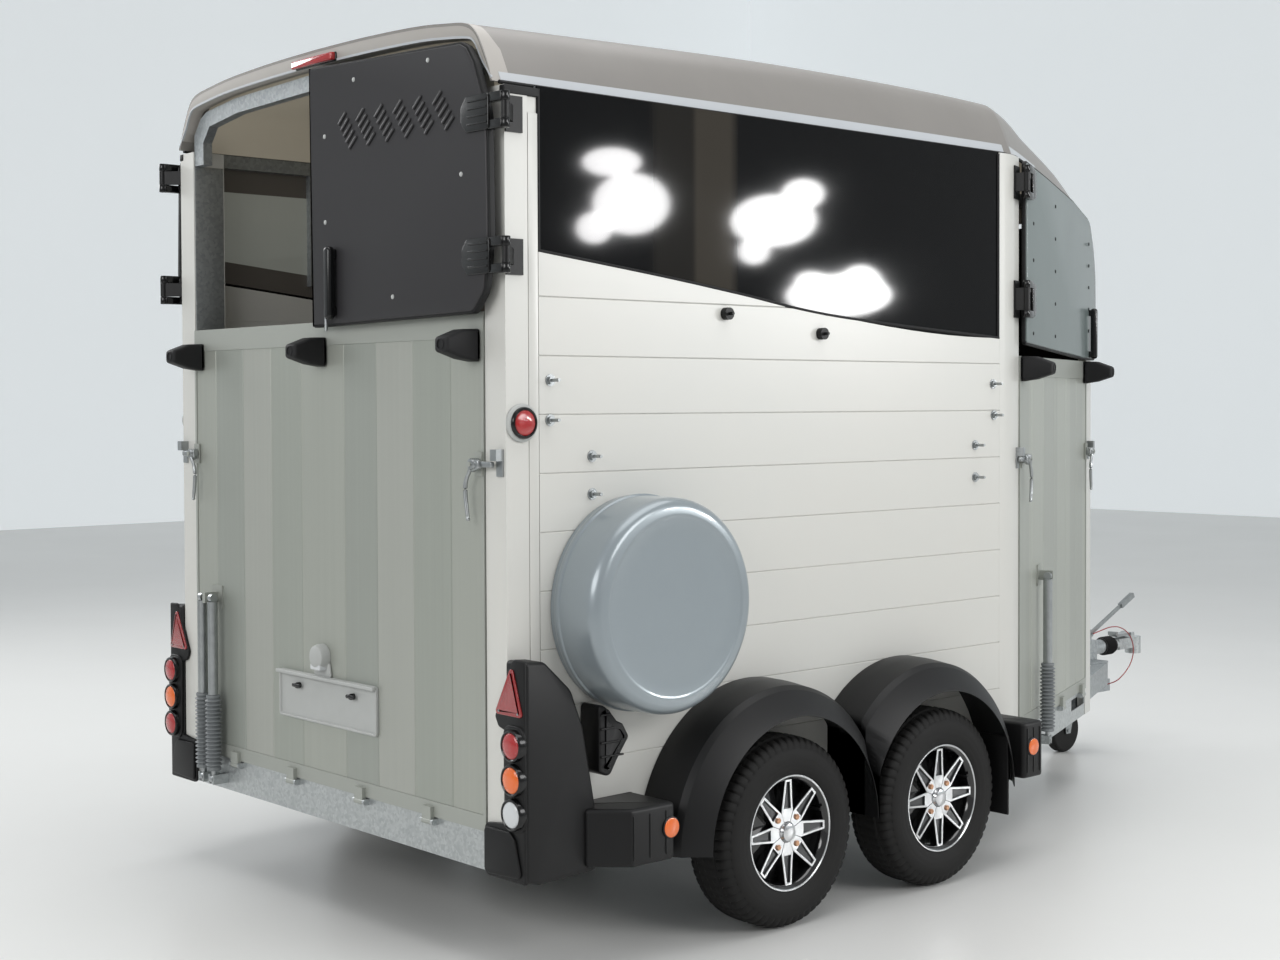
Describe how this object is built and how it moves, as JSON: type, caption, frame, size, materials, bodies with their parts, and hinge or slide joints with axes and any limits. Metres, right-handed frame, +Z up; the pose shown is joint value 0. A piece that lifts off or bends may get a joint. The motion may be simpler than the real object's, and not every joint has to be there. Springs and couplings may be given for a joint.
{
  "type": "livestock trailer",
  "caption": "Enclosed twin-axle horse trailer with a rear loading ramp, a side unloading ramp, folding top doors, tinted side windows and an overrun coupling.",
  "frame": {"origin": "on the ground, at the centre of the bounding box", "axes": "+Y towards the coupling, +X to the offside, +Z up"},
  "size_m": [2.3, 4.674, 2.76],
  "materials": {
    "galvanised": "hot-dip galvanised steel",
    "zinc": "zinc plated steel",
    "plank_white": "satin powder coated aluminium extrusion",
    "plank_grey": "satin coated aluminium extrusion",
    "anodised": "anodised aluminium",
    "tint": "dark tinted acrylic",
    "grp_grey": "moulded glass fibre, gloss",
    "black_plastic": "moulded plastic, fine grain",
    "charcoal_panel": "charcoal moulded plastic",
    "grey_panel": "grey moulded plastic",
    "cover_grey": "silver grey moulded plastic",
    "tray_grey": "light grey moulded plastic",
    "lens": "moulded acrylic lens",
    "tyre": "moulded rubber",
    "rubber": "moulded rubber",
    "boot": "grey rubber bellows",
    "alloy": "diamond cut alloy, black inside",
    "floor": "ribbed aluminium deck",
    "cable": "red plastic sheath over steel cable",
    "foam": "padded panel"
  },
  "bodies": {
    "root": {"chassis_frame": "galvanised", "sills": "galvanised", "drawbar": "galvanised", "breakaway_cable": "cable", "axles_and_springs": "galvanised", "floor_deck": "floor", "body_posts": "plank_white", "side_walls": "plank_white", "windows": "tint", "upper_frame": "galvanised", "front_walls": "plank_white", "roof": "grp_grey", "mudguards": "black_plastic", "corner_mouldings": "black_plastic", "lamps": "lens", "reflectors": "lens", "spare_wheel": "tyre", "spare_wheel_cover": "cover_grey", "bolts_and_keepers": "zinc", "door_brackets": "black_plastic", "wheel_chocks": "black_plastic", "stall_frame": "galvanised"},
    "drawtube": {"coupling_head": "galvanised", "coupling_bellows": "rubber"},
    "coupling_lever": {"coupling_handle": "zinc"},
    "handbrake": {"handbrake_lever": "black_plastic"},
    "jockey_post": {"jockey_leg": "zinc"},
    "jockey_swivel": {"jockey_fork": "zinc"},
    "jockey_roller": {"jockey_wheel": "rubber"},
    "wheel_rear_left": {"rear_left_tyre": "tyre", "rear_left_alloy_wheel": "alloy"},
    "wheel_rear_right": {"rear_right_tyre": "tyre", "rear_right_alloy_wheel": "alloy"},
    "wheel_front_left": {"front_left_tyre": "tyre", "front_left_alloy_wheel": "alloy"},
    "wheel_front_right": {"front_right_tyre": "tyre", "front_right_alloy_wheel": "alloy"},
    "partition": {"stall_partition": "foam"},
    "groom_leaf": {"groom_door": "plank_white"},
    "rear_ramp": {"rear_ramp_frame": "anodised", "rear_ramp_planks": "plank_grey", "rear_ramp_buffers": "rubber", "number_plate_holder": "tray_grey"},
    "rear_latch_r": {"rear_latch_right": "zinc"},
    "rear_latch_l": {"rear_latch_left": "zinc"},
    "front_ramp": {"front_ramp_frame": "anodised", "front_ramp_planks": "plank_grey", "front_ramp_buffers": "rubber"},
    "front_latch_a": {"front_latch_rearward": "zinc"},
    "front_latch_b": {"front_latch_forward": "zinc"},
    "rear_strut_lower": {"rear_strut_rods": "zinc", "rear_strut_boots": "boot"},
    "rear_strut_upper": {"rear_strut_tubes": "zinc"},
    "front_strut_lower": {"front_strut_rods": "zinc", "front_strut_boots": "boot"},
    "front_strut_upper": {"front_strut_tubes": "zinc"},
    "rear_top_door_right": {"rear_door_right": "charcoal_panel"},
    "rear_top_door_left": {"rear_door_left": "charcoal_panel"},
    "front_top_door": {"front_door": "grey_panel"}
  },
  "joints": [
    {"name": "rear_left_wheel_spin", "type": "hinge", "parent": "root", "child": "wheel_rear_left", "pos_m": [0, -1.265, 0.2945], "axis": [1, 0, 0], "continuous": true},
    {"name": "rear_right_wheel_spin", "type": "hinge", "parent": "root", "child": "wheel_rear_right", "pos_m": [0, -1.265, 0.2945], "axis": [1, 0, 0], "continuous": true},
    {"name": "front_left_wheel_spin", "type": "hinge", "parent": "root", "child": "wheel_front_left", "pos_m": [0, -0.5345, 0.2945], "axis": [1, 0, 0], "continuous": true},
    {"name": "front_right_wheel_spin", "type": "hinge", "parent": "root", "child": "wheel_front_right", "pos_m": [0, -0.5345, 0.2945], "axis": [1, 0, 0], "continuous": true},
    {"name": "rear_ramp_hinge", "type": "hinge", "parent": "root", "child": "rear_ramp", "pos_m": [0, -2.227, 0.388], "axis": [1, 0, 0], "range_deg": [0, 101]},
    {"name": "front_ramp_hinge", "type": "hinge", "parent": "root", "child": "front_ramp", "pos_m": [0.93963, 0.0895, 0.388], "axis": [-0.3746, 0.9272, 0], "range_deg": [0, 101]},
    {"name": "rear_strut_swing", "type": "hinge", "parent": "root", "child": "rear_strut_lower", "pos_m": [0, -2.26, 0.33], "axis": [1, 0, 0], "range_deg": [0, 100]},
    {"name": "rear_strut_slide", "type": "slide", "parent": "rear_strut_lower", "child": "rear_strut_upper", "axis": [0, 0, -1], "range_m": [0, 0.103], "deforming": ["rear_strut_boots"]},
    {"name": "front_strut_swing", "type": "hinge", "parent": "root", "child": "front_strut_lower", "pos_m": [0.83349, 0.44028, 0.33], "axis": [-0.3746, 0.9272, 0], "range_deg": [0, 100]},
    {"name": "front_strut_slide", "type": "slide", "parent": "front_strut_lower", "child": "front_strut_upper", "axis": [0, 0, -1], "range_m": [0, 0.103], "deforming": ["front_strut_boots"]},
    {"name": "rear_latch_right_turn", "type": "hinge", "parent": "rear_ramp", "child": "rear_latch_r", "pos_m": [0.814, -2.227, 1.44], "axis": [0, 1, 0], "range_deg": [0, 90]},
    {"name": "rear_latch_left_turn", "type": "hinge", "parent": "rear_ramp", "child": "rear_latch_l", "pos_m": [-0.814, -2.227, 1.44], "axis": [0, -1, 0], "range_deg": [0, 90]},
    {"name": "front_latch_rearward_turn", "type": "hinge", "parent": "front_ramp", "child": "front_latch_a", "pos_m": [0.89205, 0.20725, 1.4], "axis": [0.9272, 0.3746, 0], "range_deg": [0, 90]},
    {"name": "front_latch_forward_turn", "type": "hinge", "parent": "front_ramp", "child": "front_latch_b", "pos_m": [0.49459, 1.19099, 1.4], "axis": [-0.9272, -0.3746, 0], "range_deg": [0, 90]},
    {"name": "rear_door_right_hinge", "type": "hinge", "parent": "root", "child": "rear_top_door_right", "pos_m": [0.985, -2.255, 0], "axis": [0, 0, 1], "range_deg": [0, 270]},
    {"name": "rear_door_left_hinge", "type": "hinge", "parent": "root", "child": "rear_top_door_left", "pos_m": [-0.985, -2.255, 0], "axis": [0, 0, 1], "range_deg": [0, 270]},
    {"name": "front_door_hinge", "type": "hinge", "parent": "root", "child": "front_top_door", "pos_m": [0.95524, 0.13895, 0], "axis": [0, 0, -1], "range_deg": [0, 202]},
    {"name": "groom_door_hinge", "type": "hinge", "parent": "root", "child": "groom_leaf", "pos_m": [-0.50658, 1.16132, 0], "axis": [0, 0, -1], "range_deg": [0, 100]},
    {"name": "partition_swing", "type": "hinge", "parent": "root", "child": "partition", "pos_m": [0, 0.085, 0], "axis": [0, 0, 1], "range_deg": [-20, 20]},
    {"name": "overrun_slide", "type": "slide", "parent": "root", "child": "drawtube", "axis": [0, -1, 0], "range_m": [0, 0.08]},
    {"name": "coupling_handle_lift", "type": "hinge", "parent": "drawtube", "child": "coupling_lever", "pos_m": [0, 2.255, 0.496], "axis": [-1, 0, 0], "range_deg": [0, 55]},
    {"name": "handbrake_pull", "type": "hinge", "parent": "root", "child": "handbrake", "pos_m": [0.052, 1.875, 0.535], "axis": [1, 0, 0], "range_deg": [0, 60]},
    {"name": "jockey_height", "type": "slide", "parent": "root", "child": "jockey_post", "axis": [0, 0, 1], "range_m": [0, 0.11]},
    {"name": "jockey_swivel_turn", "type": "hinge", "parent": "jockey_post", "child": "jockey_swivel", "pos_m": [0, 1.755, 0.2], "axis": [0, 0, 1], "continuous": true},
    {"name": "jockey_wheel_spin", "type": "hinge", "parent": "jockey_swivel", "child": "jockey_roller", "pos_m": [0, 1.725, 0.1], "axis": [1, 0, 0], "continuous": true}
  ],
  "couplings": [
    {"joint": "rear_strut_swing", "follows": "rear_ramp_hinge", "ratio": 0.981},
    {"joint": "rear_strut_slide", "follows": "rear_ramp_hinge", "m_per_rad": 0.0576},
    {"joint": "front_strut_swing", "follows": "front_ramp_hinge", "ratio": 0.981},
    {"joint": "front_strut_slide", "follows": "front_ramp_hinge", "m_per_rad": 0.0576}
  ]
}
